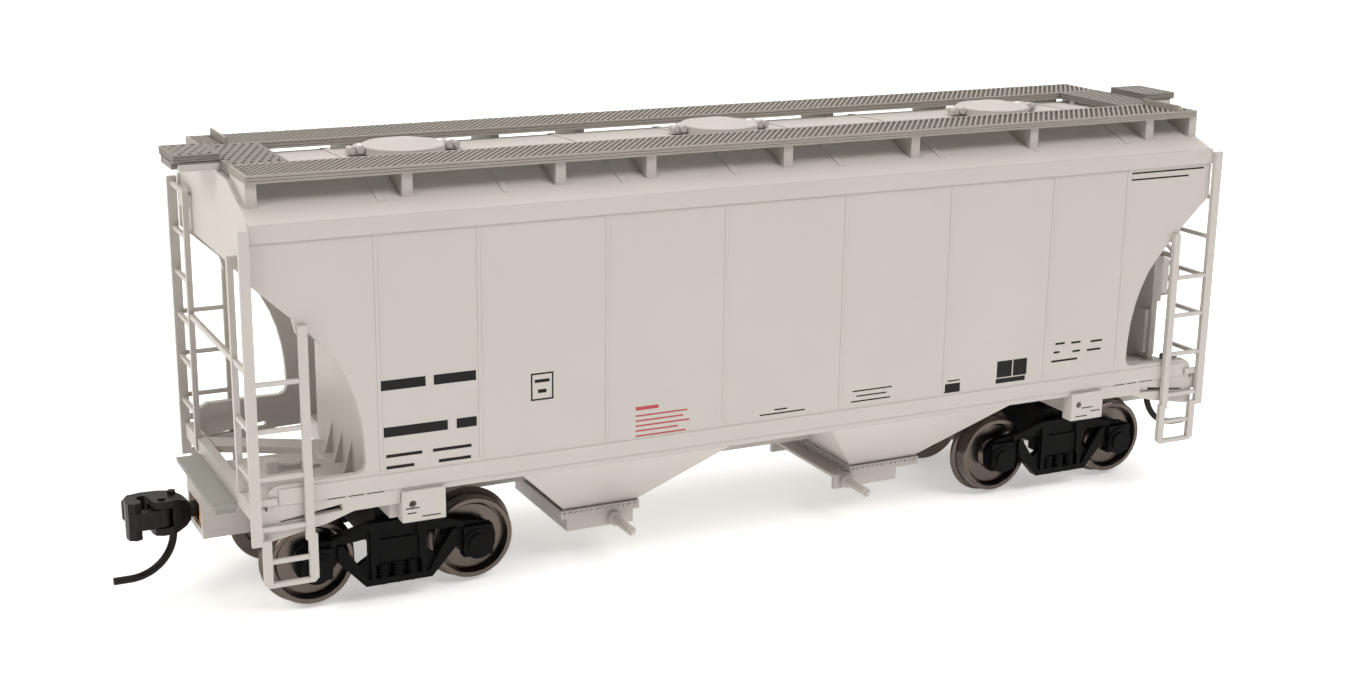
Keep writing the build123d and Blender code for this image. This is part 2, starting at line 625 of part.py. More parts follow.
# ---------------------------------------------------------------- corner ladders and end rails
def make_ladders():
    stile_depth = (17.95, 18.6)
    outer_stile = (67.55, 68.75)
    inner_stile = (61.5, 62.5)
    rung_heights = (31.3, 25.8, 20.2, 14.2, 10.2)
    rung_half = 0.26
    end_rung_heights = (47.9, 42.3, 36.7, 31.1, 25.5, 19.7)
    end_post = (67.75, 68.45)
    end_post_y = (10.7, 11.5)
    stile_foot_z = 12.3
    outer_stile_top_z = 48.8
    inner_stile_top_z = 37.6
    step_foot_z = 7.1
    step_top_z = 12.9
    outer_leg_shift = 1.2
    inner_leg_shift = 0.3
    rung_y = (18.05, 18.5)
    contact = 0.01
    upper_foot_z = (36.7, 37.5)
    lower_foot_x = (65.6, 67.6)
    lower_foot_z = (16.9, 17.7)
    end_post_foot_z = 16.65
    plain_post_top_z = 44.5
    ladder_post_top_z = 48.2
    post_seat_x = end_sheet_face + contact
    end_rung_x = (67.85, 68.35)
    cross_rail_z = (32.1, 32.8)
    short_rung_heights = (25.7, 19.9)
    foot_fillet = 0.5
    for end_name, end in ENDS:
        for name, sign in SIDES:
            has_end_ladder = (end_name, name) in (("right", "near"), ("left", "far"))
            with BuildPart() as ladder:
                block(end * outer_stile[0], end * outer_stile[1], sign * stile_depth[0],
                      sign * stile_depth[1],
                      stile_foot_z, outer_stile_top_z)
                block(end * inner_stile[0], end * inner_stile[1], sign * stile_depth[0],
                      sign * stile_depth[1],
                      stile_foot_z, inner_stile_top_z)
                # the two sill steps hang on their own legs, set in from the stiles
                leg_inner = inner_stile[0] - inner_leg_shift
                leg_outer = outer_stile[1] - outer_leg_shift
                leg_width = inner_stile[1] - inner_stile[0]
                loop = [
                    (end * leg_inner, step_top_z),
                    (end * leg_inner, step_foot_z + foot_fillet),
                    (end * (leg_inner + foot_fillet), step_foot_z),
                    (end * (leg_outer - foot_fillet), step_foot_z),
                    (end * leg_outer, step_foot_z + foot_fillet),
                    (end * leg_outer, step_top_z),
                    (end * (leg_outer - leg_width), step_top_z),
                    (end * (leg_outer - leg_width), step_foot_z + 2 * rung_half),
                    (end * (leg_inner + leg_width), step_foot_z + 2 * rung_half),
                    (end * (leg_inner + leg_width), step_top_z),
                ]
                plate_xz(loop, sign * stile_depth[0], sign * stile_depth[1])
                block(end * (leg_outer - leg_width), end * outer_stile[1], sign * stile_depth[0],
                      sign * stile_depth[1], stile_foot_z, step_top_z)
                for z in rung_heights:
                    reach = outer_leg_shift if z < stile_foot_z else 0.0
                    block(end * (inner_stile[0] + 0.3), end * (outer_stile[0] - reach + 0.3),
                          sign * rung_y[0], sign * rung_y[1], z - rung_half, z + rung_half)
                # the foot brackets that hold the ladder to the side sheet
                block(end * inner_stile[0], end * inner_stile[1], sign * (side_face + contact),
                      sign * stile_depth[0], upper_foot_z[0], upper_foot_z[1])
                block(end * lower_foot_x[0], end * lower_foot_x[1], sign * (side_face + contact),
                      sign * (stile_depth[0] + 0.2), lower_foot_z[0], lower_foot_z[1])
                if has_end_ladder:
                    block(end * end_post[0], end * end_post[1], sign * end_post_y[0], sign * end_post_y[1],
                          end_post_foot_z, ladder_post_top_z)
                    block(end * beam_face_x, end * end_post[1], sign * end_post_y[0], sign * end_post_y[1],
                          14.9, 17.0)
                    block(end * post_seat_x, end * end_post[1], sign * end_post_y[0],
                          sign * (end_post_y[1] + 0.9),
                          ladder_post_top_z - 2.0, ladder_post_top_z - 0.6)
                    for z in end_rung_heights:
                        block(end * end_rung_x[0], end * end_rung_x[1], sign * (end_post_y[0] + 0.3),
                              sign * (stile_depth[0] + 0.3), z - rung_half, z + rung_half)
            save(ladder, f"corner_ladder_{end_name}_{name}")
    # the plain corner has only the inner post, the rail that runs across the end and two short rungs
    for end_name, end in ENDS:
        plain = 1 if end_name == "right" else -1
        post_a = plain * end_post_y[0]
        post_b = plain * end_post_y[1]
        rung_end_y = plain * (stile_depth[0] - 0.05)
        with BuildPart() as rail:
            block(end * end_post[0], end * end_post[1], post_a, post_b, end_post_foot_z, plain_post_top_z)
            block(end * post_seat_x, end * end_post[1], post_a, post_b, plain_post_top_z - 1.2,
                  plain_post_top_z)
            block(end * post_seat_x, end * end_post[1], post_a, post_b, end_post_foot_z,
                  end_post_foot_z + 0.75)
            block(end * end_rung_x[0], end * end_rung_x[1], -plain * (end_post_y[0] - 0.05), rung_end_y,
                  cross_rail_z[0], cross_rail_z[1])
            for z in short_rung_heights:
                block(end * end_rung_x[0], end * end_rung_x[1], post_b, rung_end_y, z - rung_half,
                      z + rung_half)
        save(rail, f"end_post_rail_{end_name}")


def make_platforms():
    platform_half = 9.8
    platform_lift = 0.03
    platform_top = 0.55
    bracket_y = 8.6
    bracket_half = 0.25
    bracket_drop = 0.9
    bracket_end_x = 70.6
    for end_name, end in ENDS:
        with BuildPart() as platform:
            block(end * beam_face_x, end * box_front_x, -platform_half, platform_half,
                  box_top_z + platform_lift, box_top_z + platform_top)
            for y in (-bracket_y, bracket_y):
                block(end * beam_face_x, end * bracket_end_x, y - bracket_half, y + bracket_half,
                      box_top_z - bracket_drop, box_top_z + 0.2)
        save(platform, f"crossover_platform_{end_name}")


# ---------------------------------------------------------------- brake gear
def make_brake_gear():
    wheel_x = 70.4
    wheel_y = -5.6
    wheel_z = 29.4
    rim_radius = 4.15
    rim_wire = 0.32
    hub_radius = 0.8
    spoke_count = 6
    spoke_thickness = 0.3
    spoke_width = 0.5
    hub_back = 0.5
    hub_front = 0.4
    rod_radius = 0.4
    panel_x = (66.2, 67.0)
    panel_half = 9.3
    panel_z = (16.75, 41.7)
    housing_back_x = panel_x[1] + 0.02
    housing_front_x = 69.2
    cylinder_y = 9.6
    cylinder_z = 19.15
    cylinder_radius = 2.1
    cylinder_head_x = 62.4
    reservoir_y = (4.0, 15.0)
    reservoir_z = 13.4
    reservoir_radius = 2.3
    deck_top_z = floor_z + floor_thickness + 0.01
    valve_top_z = 18.6
    pipe_z = 17.5
    with BuildPart() as panel:
        block(panel_x[0], panel_x[1], -panel_half, panel_half, panel_z[0], panel_z[1])
        block(panel_x[0] - 0.7, panel_x[0], -8.9, -7.4, 17.8, 24.2)
    save(panel, "brake_end_panel")
    with BuildPart() as housing:
        block(housing_back_x, housing_front_x, -8.9, -3.4, 26.4, 31.6)
        block(housing_back_x, housing_back_x + 0.83, -9.25, -2.9, 25.4, 32.1)
        rod_x(housing_front_x, housing_front_x + 0.35, wheel_y, wheel_z, 1.5)
        rod_z(68.1, -7.7, 17.0, 26.5, rod_radius)
        rod_x(housing_front_x + 0.2, wheel_x - hub_back, wheel_y, wheel_z, rod_radius)
    save(housing, "brake_housing")
    with BuildPart() as wheel:
        with BuildSketch(Plane(origin=(wheel_x, wheel_y, wheel_z), x_dir=(1, 0, 0), z_dir=(0, -1, 0))) as rim:
            with Locations((0, rim_radius - rim_wire)):
                Circle(rim_wire)
        revolve(profiles=rim.sketch, axis=Axis((wheel_x, wheel_y, wheel_z), (1, 0, 0)))
        rod_x(wheel_x - hub_back, wheel_x + hub_front, wheel_y, wheel_z, hub_radius)
        for index in range(spoke_count):
            angle = index * 360 / spoke_count
            with Locations(Location((wheel_x, wheel_y, wheel_z), (angle, 0, 0))):
                with Locations((0, 0, rim_radius / 2)):
                    Box(spoke_thickness, spoke_width, rim_radius - 2 * rim_wire)
    save(wheel, "brake_wheel")
    with BuildPart() as cylinder:
        rod_x(55.6, cylinder_head_x, cylinder_y, cylinder_z, cylinder_radius)
        rod_x(cylinder_head_x, cylinder_head_x + 0.6, cylinder_y, cylinder_z, cylinder_radius + 0.25)
        rod_x(cylinder_head_x + 0.6, 65.6, cylinder_y, cylinder_z, rod_radius)
        block(57.0, 61.5, cylinder_y - 1.2, cylinder_y + 1.2, 16.72, 17.3)
    save(cylinder, "brake_cylinder")
    with BuildPart() as reservoir:
        rod_y(0, reservoir_y[0], reservoir_y[1], reservoir_z, reservoir_radius)
        rod_y(0, reservoir_y[0] - 0.3, reservoir_y[1] + 0.3, reservoir_z, reservoir_radius - 0.7)
        for y in (6.0, 13.0):
            block(-2.5, 2.5, y - 0.4, y + 0.4, reservoir_z + 0.2, floor_z - 0.02)
    save(reservoir, "air_reservoir")
    with BuildPart() as valve:
        block(-64.0, -62.6, -7.4, -6.2, deck_top_z, valve_top_z - 0.3)
        rod_x(-64.1, -62.5, -6.8, valve_top_z - 0.4, 0.42)
        rod_x(-62.7, -59.3, -6.6, pipe_z, 0.3)
        block(-59.9, -59.1, -7.0, -6.1, deck_top_z, pipe_z + 0.4)
    save(valve, "retaining_valve")


# ---------------------------------------------------------------- coupler boxes and couplers
def make_coupler_boxes():
    wall = 1.0
    cavity_half = box_half - wall
    cavity_top_z = 12.6
    post_radius = 1.1
    box_screw_radius = 0.55
    screw_head_radius = 1.25
    for end_name, end in ENDS:
        with BuildPart() as box:
            block(end * box_back_x, end * box_front_x, -box_half, box_half, box_split_z, box_top_z)
            block(end * (box_back_x + wall), end * (box_front_x + wall), -cavity_half, cavity_half,
                  box_split_z, cavity_top_z, mode=Mode.SUBTRACT)
            rod_z(end * coupler_pivot_x, 0, box_split_z, cavity_top_z + 0.1, post_radius)
            rod_z(end * coupler_pivot_x, 0, box_split_z, 13.0, box_screw_radius, mode=Mode.SUBTRACT)
        save(box, f"coupler_box_{end_name}")
    with BuildPart() as lids:
        for end_name, end in ENDS:
            block(end * box_back_x, end * box_front_x, -box_half, box_half, box_foot_z, box_split_z)
            rod_z(end * coupler_pivot_x, 0, box_foot_z, box_split_z, box_screw_radius + 0.05,
                  mode=Mode.SUBTRACT)
            rod_z(end * coupler_pivot_x, 0, box_foot_z, box_foot_z + 0.35, screw_head_radius + 0.1,
                  mode=Mode.SUBTRACT)
    save(lids, "coupler_box_lids")
    with BuildPart() as screws:
        for end_name, end in ENDS:
            rod_z(end * coupler_pivot_x, 0, box_foot_z + 0.1, cavity_top_z, box_screw_radius)
            rod_z(end * coupler_pivot_x, 0, box_foot_z - 0.35, box_foot_z + 0.3, screw_head_radius)
    save(screws, "coupler_box_screws")


def outboard(points, end):
    """Turn an outline drawn for the right-hand coupler to the given end of the car."""
    return [(end * x, end * y) for x, y in points]


def make_couplers():
    shank_z = (10.6, 11.95)
    head_z = (9.1, 13.35)
    slot_z = (10.0, 12.45)
    slot_fit = 0.12
    slot_outline = [(75.0, -0.5), (77.4, -0.9), (80.0, -1.9), (80.0, 3.5), (74.4, 3.5), (74.15, 1.4)]
    jaw_z = (8.85, 13.5)
    shank_half = 0.95
    spring_x = (67.6, 71.0)
    spring_strip = 0.18
    spring_top_z = 12.3
    pivot_plate_radius = 2.0
    pivot_bore = 1.1 + running_fit
    knuckle_boss = 1.05
    slot_radius = 1.3
    trunnion_radius = 0.42
    pin_radius = 0.47
    pin_x = 73.75
    pin_y = -0.9
    pin_proud = 0.35
    pin_bend_z = 8.6
    pin_bend_radius = 5.5
    pin_tip_x = 81.2
    head_side = [
        (71.7, 10.5), (72.5, 9.6), (73.7, 9.15), (75.3, head_z[0]), (77.2, 9.15), (78.6, 9.5), (79.5, 10.3),
        (79.5, 12.15), (78.6, 12.95), (77.2, 13.3), (75.3, head_z[1]), (73.7, 13.3), (72.5, 12.85), (71.7,
                                                                                                     12.0),
    ]
    head_outline = [
        (71.9, -0.95), (72.6, -1.15), (73.3, -1.9), (75.2, -2.45), (77.4, -2.75), (78.7, -3.35), (79.35,
                                                                                                  -3.2),
        (79.3, -2.6), (78.0, -1.75), (76.9, -1.15), (76.6, -0.35), (76.55, 0.8), (76.3, 1.75), (75.4, 2.15),
        (74.2, 1.95), (73.2, 1.5), (72.6, 1.15), (71.9, 0.95),
    ]
    knuckle_outline = [
        (74.6, 0.15), (75.3, -0.2), (76.2, 0.0), (76.9, 0.55), (77.5, 0.85), (78.0, 0.55), (78.05, -0.5),
        (78.35, -0.95), (78.95, -1.0), (79.45, -0.6), (79.55, 0.6), (79.3, 1.6), (78.5, 2.1), (77.2, 2.15),
        (75.9, 2.0), (74.9, 1.7),
    ]
    jaw_outline = [
        (77.75, 0.75), (78.0, 0.4), (78.05, -0.5), (78.35, -0.95), (78.95, -1.0), (79.45, -0.6), (79.55, 0.6),
        (79.35, 1.5), (78.6, 1.95), (77.85, 1.6),
    ]
    for end_name, end in ENDS:
        with BuildPart() as head:
            plate_xy(outboard(head_outline, end), head_z[0], head_z[1])
            plate_xz([(end * x, z) for x, z in head_side], -box_half, box_half, mode=Mode.INTERSECT)
            block(end * coupler_pivot_x, end * 72.6, -shank_half, shank_half, shank_z[0], shank_z[1])
            rod_z(end * coupler_pivot_x, 0, shank_z[0], shank_z[1], pivot_plate_radius)
            rod_z(end * coupler_pivot_x, 0, shank_z[0] - 1, shank_z[1] + 1, pivot_bore, mode=Mode.SUBTRACT)
            # slot for the knuckle, open to the front and to the knuckle side
            rod_z(end * knuckle_pin_x, end * knuckle_pin_y, slot_z[0], slot_z[1], slot_radius,
                  mode=Mode.SUBTRACT)
            plate_xy(outboard(slot_outline, end), slot_z[0], slot_z[1], mode=Mode.SUBTRACT)
            rod_z(end * knuckle_pin_x, end * knuckle_pin_y, head_z[0] - 1, head_z[1] + 1,
                  trunnion_radius + running_fit, mode=Mode.SUBTRACT)
            rod_z(end * pin_x, end * pin_y, head_z[0] - 1, head_z[1] + 1, pin_radius, mode=Mode.SUBTRACT)
        save(head, f"coupler_head_{end_name}")
        with BuildPart() as knuckle:
            plate_xy(outboard(knuckle_outline, end), slot_z[0] + slot_fit, slot_z[1] - slot_fit)
            rod_z(end * knuckle_pin_x, end * knuckle_pin_y, slot_z[0] + slot_fit, slot_z[1] - slot_fit,
                  knuckle_boss)
            plate_xy(outboard(jaw_outline, end), jaw_z[0], jaw_z[1])
            rod_z(end * knuckle_pin_x, end * knuckle_pin_y, head_z[0] - 0.1, head_z[1] + 0.2, trunnion_radius)
        save(knuckle, f"coupler_knuckle_{end_name}")
        with BuildPart() as pin:
            spine_plane = Plane(origin=(0, end * pin_y, 0), x_dir=(end, 0, 0), z_dir=(0, -end, 0))
            with BuildLine(spine_plane) as spine:
                Line((pin_x, head_z[1] + pin_proud), (pin_x, pin_bend_z))
                CenterArc((pin_x + pin_bend_radius, pin_bend_z), pin_bend_radius, 180, 90)
                Line((pin_x + pin_bend_radius, pin_bend_z - pin_bend_radius),
                     (pin_tip_x, pin_bend_z - pin_bend_radius))
            with BuildSketch(Plane(origin=(end * pin_x, end * pin_y, head_z[1] + pin_proud), z_dir=(0, 0,
                                                                                                    -1))):
                Circle(pin_radius)
            sweep(path=spine.wires()[0])
        save(pin, f"trip_pin_{end_name}")
        with BuildPart() as spring:
            block(end * spring_x[0], end * spring_x[1], -2.4, 2.4, box_split_z + 0.02,
                  box_split_z + 0.02 + spring_strip)
            for sign in (-1, 1):
                leaf = [(end * spring_x[0], sign * 2.2), (end * spring_x[1], sign * 1.3),
                        (end * spring_x[1], sign * 1.5), (end * spring_x[0], sign * 2.4)]
                plate_xy(leaf, box_split_z + 0.1, spring_top_z)
        save(spring, f"centring_spring_{end_name}")


# ---------------------------------------------------------------- trucks
def make_trucks():
    frame_half = [
        (0, 10.5), (3.6, 10.5), (5.4, 9.9), (8.6, 9.0), (11.2, 8.6), (12.3, 7.9), (12.65, 6.7), (12.55, 5.3),
        (11.9, 4.2), (10.2, 3.85), (8.6, 4.6), (7.5, 6.1), (4.2, frame_foot_z), (0, frame_foot_z),
    ]
    window = [(3.6, 8.5), (6.9, 8.2), (4.9, 5.2), (3.6, 6.0)]
    chord_band = [(0, 10.5), (3.6, 10.5), (5.4, 9.9), (8.6, 9.0), (8.3, 8.3), (5.1, 9.1), (3.6, 9.6), (0,
                                                                                                       9.6)]
    tie_band = [(0, frame_foot_z), (4.2, frame_foot_z), (7.5, 6.1), (7.5, 8.2), (6.9, 8.2), (4.9, 5.2),
                (3.8, 3.3), (0, 3.3)]
    column = [(2.4, 9.8), (3.5, 9.8), (3.5, 3.1), (2.4, 3.1)]
    spring_half = 2.9
    spring_foot_z = 3.3
    spring_top_z = 5.1
    spring_offsets = (-1.85, 0.0, 1.85)
    bolster_window = (2.6, 5.15, 8.2)
    adapter_z = (4.3, 8.2)
    adapter_half = 1.9
    bearing_radius = 1.95
    bearing_cap_radius = 1.35
    bolster_z = (6.2, 11.6)
    plate_top_z = 12.32
    bolster_end_y = 7.5
    window_fit = 0.03
    side_bearing_y = 7.0
    coil_radius = 0.75
    coil_wire = 0.16
    coil_turns = 5
    for end_name, end in ENDS:
        centre = end * truck_centre_x
        for name, sign in SIDES:
            inner_y = sign * frame_inner_y
            face_y = sign * (frame_outer_y - 0.45)
            rim_y = sign * frame_outer_y
            with BuildPart() as frame:
                for side_of_truck in (-1, 1):
                    half = [(centre + side_of_truck * u, z) for u, z in frame_half]
                    plate_xz(half, inner_y, face_y)
                    plate_xz([(centre + side_of_truck * u, z) for u, z in chord_band], inner_y, rim_y)
                    plate_xz([(centre + side_of_truck * u, z) for u, z in tie_band], inner_y, rim_y)
                    plate_xz([(centre + side_of_truck * u, z) for u, z in column], inner_y, rim_y)
                    bearing_x = centre + side_of_truck * half_wheelbase
                    rod_y(bearing_x, inner_y, sign * (frame_outer_y + 0.35), axle_z, bearing_radius)
                    rod_y(bearing_x, sign * frame_outer_y, sign * (frame_outer_y + 0.65), axle_z,
                          bearing_cap_radius)
                    block(bearing_x - adapter_half, bearing_x + adapter_half, inner_y,
                          sign * (frame_outer_y + 0.15),
                          adapter_z[0], adapter_z[1])
                for side_of_truck in (-1, 1):
                    bearing_x = centre + side_of_truck * half_wheelbase
                    plate_xz([(centre + side_of_truck * u, z) for u, z in window], sign * 10, sign * 14,
                             mode=Mode.SUBTRACT)
                    # pointed bearing for the axle tip
                    with BuildSketch(Plane(origin=(bearing_x, 0, axle_z), x_dir=(1, 0, 0), z_dir=(0, 0,
                                                                                                  1))) as cone:
                        with BuildLine():
                            Polyline((0, sign * (frame_inner_y - 0.2)), (0.95, sign * (frame_inner_y - 0.2)),
                                     (0.86, sign * frame_inner_y), (0.16, sign * (axle_tip_y + 0.12)),
                                     (0, sign * (axle_tip_y + 0.12)), close=True)
                        make_face()
                    revolve(profiles=cone.sketch, axis=Axis((bearing_x, 0, axle_z), (0, 1, 0)),
                            mode=Mode.SUBTRACT)
                block(centre - bolster_window[0], centre + bolster_window[0], sign * 10, sign * 14,
                      bolster_window[1], bolster_window[2], mode=Mode.SUBTRACT)
                # the spring nest: a recess with three pairs of coils against its back
                block(centre - spring_half, centre + spring_half, sign * (frame_outer_y - 0.9), sign * 14,
                      spring_foot_z, spring_top_z, mode=Mode.SUBTRACT)
                for offset in spring_offsets:
                    rod_z(centre + offset, sign * (frame_outer_y - 0.75), spring_foot_z - 0.1,
                          spring_top_z + 0.04,
                          coil_radius - coil_wire)
                    for turn in range(coil_turns):
                        turn_z = spring_foot_z + (turn + 0.5) * (spring_top_z - spring_foot_z) / coil_turns
                        rod_z(centre + offset, sign * (frame_outer_y - 0.75), turn_z - 0.13, turn_z + 0.13,
                              coil_radius)
                for offset in spring_offsets:
                    rod_z(centre + offset, sign * (frame_outer_y - 0.7), frame_foot_z - 0.2,
                          frame_foot_z + 0.2, 0.35)
            save(frame, f"truck_side_frame_{end_name}_{name}")
        with BuildPart() as bolster:
            block(centre - 2.4, centre + 2.4, -(frame_inner_y - 0.1), frame_inner_y - 0.1, bolster_z[0],
                  bolster_z[1])
            for sign in (-1, 1):
                block(centre - bolster_window[0] + window_fit, centre + bolster_window[0] - window_fit,
                      sign * bolster_end_y, sign * (frame_outer_y - 0.25),
                      bolster_window[1] + window_fit, bolster_window[2] - window_fit)
            rod_z(centre, 0, bolster_z[1] - 0.1, plate_top_z, 3.0)
            rod_z(centre, 0, 5, 13, 1.1 + running_fit, mode=Mode.SUBTRACT)
            for sign in (-1, 1):
                rod_z(centre, sign * side_bearing_y, bolster_z[1] - 0.1, 12.0, 0.9)
        save(bolster, f"truck_bolster_{end_name}")


def make_wheelsets():
    rim_inner_radius = 4.6
    plate_radius = 4.15
    groove_depth = 1.6
    number = 0
    for end_name, end in ENDS:
        for side_of_truck in (-1, 1):
            number += 1
            axle_x = end * truck_centre_x + side_of_truck * half_wheelbase
            axle_axis = Axis((axle_x, 0, axle_z), (0, 1, 0))
            with BuildPart() as axle:
                with BuildSketch(Plane(origin=(axle_x, 0, axle_z), x_dir=(1, 0, 0), z_dir=(0, 0,
                                                                                           1))) as profile:
                    with BuildLine():
                        Polyline((0, -axle_tip_y), (0.1, -axle_tip_y), (axle_radius, -10.4), (axle_radius,
                                                                                              10.4),
                                 (0.1, axle_tip_y), (0, axle_tip_y), close=True)
                    make_face()
                revolve(profiles=profile.sketch, axis=axle_axis)
            save(axle, f"axle_{number}")
            with BuildPart() as wheels:
                for name, sign in SIDES:
                    with BuildSketch(Plane(origin=(axle_x, 0, axle_z), x_dir=(1, 0, 0), z_dir=(0, 0,
                                                                                               1))) as profile:
                        with BuildLine():
                            Polyline(
                                (axle_radius, sign * wheel_flange_y),
                                (1.9, sign * wheel_flange_y),
                                (2.1, sign * (wheel_flange_y + 0.5)),
                                (4.1, sign * (wheel_flange_y + 0.5)),
                                (4.3, sign * wheel_flange_y),
                                (flange_radius - 0.2, sign * wheel_flange_y),
                                (flange_radius, sign * (wheel_flange_y + 0.25)),
                                (flange_radius - 0.15, sign * (wheel_flange_y + 0.55)),
                                (tread_radius + 0.1, sign * wheel_tread_inner_y),
                                (tread_radius, sign * (wheel_outer_y - 0.15)),
                                (tread_radius - 0.15, sign * wheel_outer_y),
                                (rim_inner_radius, sign * wheel_outer_y),
                                (rim_inner_radius - 0.05, sign * (wheel_outer_y - groove_depth)),
                                (plate_radius + 0.05, sign * (wheel_outer_y - groove_depth)),
                                (plate_radius, sign * (wheel_outer_y - 0.9)),
                                (2.3, sign * (wheel_outer_y - 0.75)),
                                (1.7, sign * (wheel_outer_y - 0.1)),
                                (axle_radius, sign * (wheel_outer_y - 0.1)),
                                close=True,
                            )
                        make_face()
                    revolve(profiles=profile.sketch, axis=axle_axis)
            save(wheels, f"wheels_{number}")


make_body_shell()
make_roof()
make_walks()
make_hatches()
make_underframe()
make_ballast()
make_bays()
make_outlets()
make_body_bolsters()
make_ladders()
make_platforms()
make_brake_gear()
make_coupler_boxes()
make_couplers()
make_trucks()
make_wheelsets()
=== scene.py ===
import bpy
import bmesh
import json
import math
from mathutils import Matrix, Vector


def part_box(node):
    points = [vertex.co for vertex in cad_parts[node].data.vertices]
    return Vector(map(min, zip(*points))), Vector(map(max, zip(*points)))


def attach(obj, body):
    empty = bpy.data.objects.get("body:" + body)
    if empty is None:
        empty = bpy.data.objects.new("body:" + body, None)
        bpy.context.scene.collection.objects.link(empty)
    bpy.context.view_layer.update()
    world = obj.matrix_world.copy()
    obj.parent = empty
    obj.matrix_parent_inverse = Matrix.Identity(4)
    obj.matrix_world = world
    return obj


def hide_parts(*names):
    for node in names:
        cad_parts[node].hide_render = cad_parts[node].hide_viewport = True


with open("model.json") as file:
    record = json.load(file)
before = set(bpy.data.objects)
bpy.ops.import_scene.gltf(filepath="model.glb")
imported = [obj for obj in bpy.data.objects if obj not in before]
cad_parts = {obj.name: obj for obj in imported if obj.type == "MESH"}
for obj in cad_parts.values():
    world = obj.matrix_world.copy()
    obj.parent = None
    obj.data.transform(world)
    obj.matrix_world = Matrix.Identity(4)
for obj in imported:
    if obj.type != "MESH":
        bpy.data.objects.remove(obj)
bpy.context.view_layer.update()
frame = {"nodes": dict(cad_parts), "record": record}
MM = 0.001


scene = bpy.context.scene


# ---------------------------------------------------------------- materials
# noise scales are per metre; lengths here are in millimetres
PATCH_SCALE = 55.0
SPECK_RATIO = 6
EDGE_RADIUS = 0.08
BASE_SHARE = 0.55
ROUGHNESS_SPREAD = 0.06


def new_material(name):
    material = bpy.data.materials.new(name)
    material.use_nodes = True
    nodes = material.node_tree.nodes
    nodes.clear()
    output = nodes.new("ShaderNodeOutputMaterial")
    shader = nodes.new("ShaderNodeBsdfPrincipled")
    material.node_tree.links.new(shader.outputs["BSDF"], output.inputs["Surface"])
    return material, material.node_tree, shader


def noise(tree, coords, scale, detail, rough):
    texture = tree.nodes.new("ShaderNodeTexNoise")
    texture.inputs["Scale"].default_value = scale
    texture.inputs["Detail"].default_value = detail
    texture.inputs["Roughness"].default_value = rough
    tree.links.new(coords, texture.inputs["Vector"])
    return texture.outputs["Fac"]


def ramp(tree, factor, low, high, out_low, out_high):
    node = tree.nodes.new("ShaderNodeMapRange")
    node.inputs["From Min"].default_value = low
    node.inputs["From Max"].default_value = high
    node.inputs["To Min"].default_value = out_low
    node.inputs["To Max"].default_value = out_high
    tree.links.new(factor, node.inputs["Value"])
    return node.outputs["Result"]


def mix_colour(tree, factor, a, b):
    node = tree.nodes.new("ShaderNodeMix")
    node.data_type = "RGBA"
    sockets = [s for s in node.inputs if s.type == "RGBA"]
    for socket, value in zip(sockets, (a, b)):
        if hasattr(value, "is_linked"):
            tree.links.new(value, socket)
        else:
            socket.default_value = (*value, 1.0)
    if hasattr(factor, "is_linked"):
        tree.links.new(factor, node.inputs["Factor"])
    else:
        node.inputs["Factor"].default_value = factor
    return [s for s in node.outputs if s.type == "RGBA"][0]


def edge_wear(tree, bevel_normal, fine):
    """A ragged factor that rises where the rounded normal leaves the true one."""
    geometry = tree.nodes.new("ShaderNodeNewGeometry")
    dot = tree.nodes.new("ShaderNodeVectorMath")
    dot.operation = "DOT_PRODUCT"
    tree.links.new(bevel_normal, dot.inputs[0])
    tree.links.new(geometry.outputs["Normal"], dot.inputs[1])
    worn = ramp(tree, dot.outputs["Value"], 0.985, 0.80, 0.0, 1.0)
    ragged = tree.nodes.new("ShaderNodeMath")
    ragged.operation = "MULTIPLY"
    tree.links.new(worn, ragged.inputs[0])
    tree.links.new(ramp(tree, fine, 0.3, 0.7, 0.3, 0.8), ragged.inputs[1])
    return ragged.outputs[0]


def moulded(name, base, dark, light, roughness, edge, grain, metallic=0.0, grain_scale=9000.0, spec=0.5):
    """Painted or moulded surface: patchy colour, fine grain in the relief, paler worn edges."""
    material, tree, shader = new_material(name)
    coords = tree.nodes.new("ShaderNodeTexCoord").outputs["Object"]
    patches = noise(tree, coords, PATCH_SCALE, 4.0, 0.6)
    fine = noise(tree, coords, grain_scale / SPECK_RATIO, 2.0, 0.6)
    grain_fac = noise(tree, coords, grain_scale, 2.0, 0.5)
    colour = mix_colour(tree, ramp(tree, patches, 0.35, 0.65, 0.0, 1.0), dark, light)
    colour = mix_colour(tree, BASE_SHARE, colour, base)
    speck = ramp(tree, fine, 0.62, 0.75, 0.0, 0.25)
    colour = mix_colour(tree, speck, colour, dark)
    bevel_node = tree.nodes.new("ShaderNodeBevel")
    bevel_node.samples = 4
    bevel_node.inputs["Radius"].default_value = EDGE_RADIUS * MM
    bevel_normal = bevel_node.outputs["Normal"]
    colour = mix_colour(tree, edge_wear(tree, bevel_normal, fine), colour, edge)
    tree.links.new(colour, shader.inputs["Base Color"])
    smoothest = roughness - ROUGHNESS_SPREAD
    roughest = roughness + ROUGHNESS_SPREAD
    tree.links.new(ramp(tree, patches, 0.3, 0.7, smoothest, roughest), shader.inputs["Roughness"])
    bump = tree.nodes.new("ShaderNodeBump")
    bump.inputs["Strength"].default_value = 1.0
    bump.inputs["Distance"].default_value = grain * MM
    tree.links.new(grain_fac, bump.inputs["Height"])
    tree.links.new(bevel_normal, bump.inputs["Normal"])
    tree.links.new(bump.outputs["Normal"], shader.inputs["Normal"])
    shader.inputs["Metallic"].default_value = metallic
    shader.inputs["Specular IOR Level"].default_value = spec
    return material


